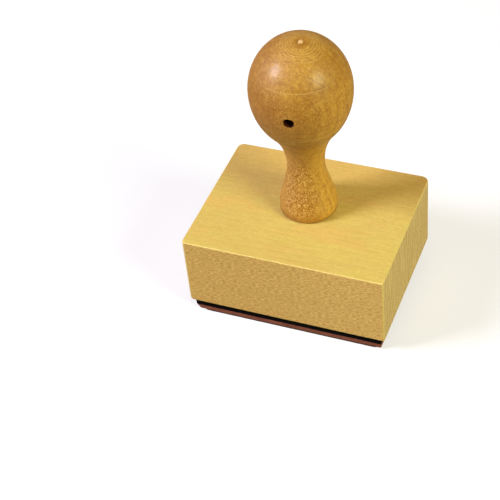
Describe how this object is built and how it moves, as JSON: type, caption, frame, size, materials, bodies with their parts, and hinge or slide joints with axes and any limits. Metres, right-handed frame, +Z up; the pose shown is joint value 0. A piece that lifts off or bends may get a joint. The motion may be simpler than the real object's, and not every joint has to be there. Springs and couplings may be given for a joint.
{
  "type": "rubber stamp",
  "caption": "Wood-mounted hand stamp: turned ball handle on a rectangular hardwood block, with a cushioned rubber printing die under it.",
  "frame": {"origin": "centre of the bounding box's bottom, in the plane of the printing relief", "axes": "+Z up the handle, X along the long side of the block, -Y is the front, where the drilled mark in the ball faces"},
  "size_m": [0.065, 0.05, 0.0936],
  "materials": {
    "handle_wood": "turned beech, honey-coloured satin lacquer",
    "block_wood": "planed and sanded pale hardwood, thin matt lacquer",
    "screw_steel": "zinc-plated steel wood screw",
    "adhesive": "clear double-sided adhesive film",
    "foam": "black closed-cell foam, cut edge",
    "die_rubber": "red-brown engraved rubber, relief stained by black ink"
  },
  "bodies": {
    "die_pad": {"rubber_die": "die_rubber", "lower_adhesive_film": "adhesive", "foam_cushion": "foam"},
    "mount": {"upper_adhesive_film": "adhesive", "mount_block": "block_wood", "handle_screw": "screw_steel", "handle": "handle_wood"}
  },
  "joints": [
    {"name": "press", "type": "slide", "parent": "die_pad", "child": "mount", "axis": [0, 0, -1], "range_m": [0, 0.001], "stiffness_N_per_m": 100000, "deforming": ["foam_cushion"]}
  ]
}
